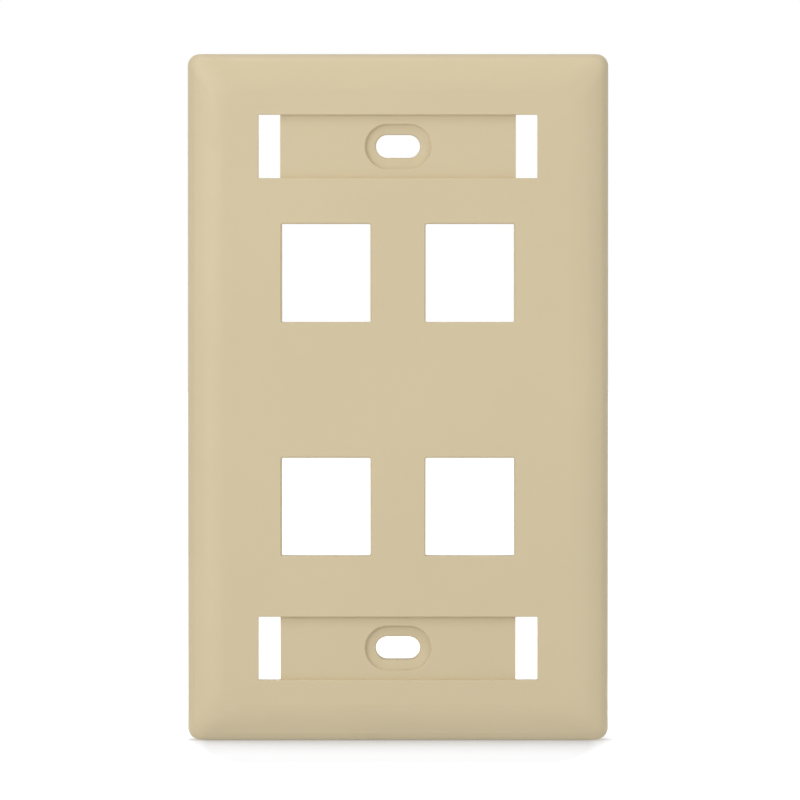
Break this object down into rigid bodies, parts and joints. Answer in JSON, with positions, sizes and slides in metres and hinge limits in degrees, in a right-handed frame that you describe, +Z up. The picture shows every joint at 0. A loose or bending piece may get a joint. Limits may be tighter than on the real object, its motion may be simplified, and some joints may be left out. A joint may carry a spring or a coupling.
{
  "type": "keystone faceplate",
  "caption": "Wall plate with rolled edges, framed keystone openings, and recessed label fields with end windows around its screw slots.",
  "frame": {"origin": "middle of the rear rim, in the plane of the wall", "axes": "+Z up as mounted, -Y out of the front face, +Y into the wall, +X to the right seen from the front"},
  "size_m": [0.07, 0.0097, 0.1142],
  "materials": {
    "ivory_plastic": "satin moulded ivory thermoplastic"
  },
  "bodies": {
    "root": {"faceplate": "ivory_plastic"}
  },
  "joints": []
}
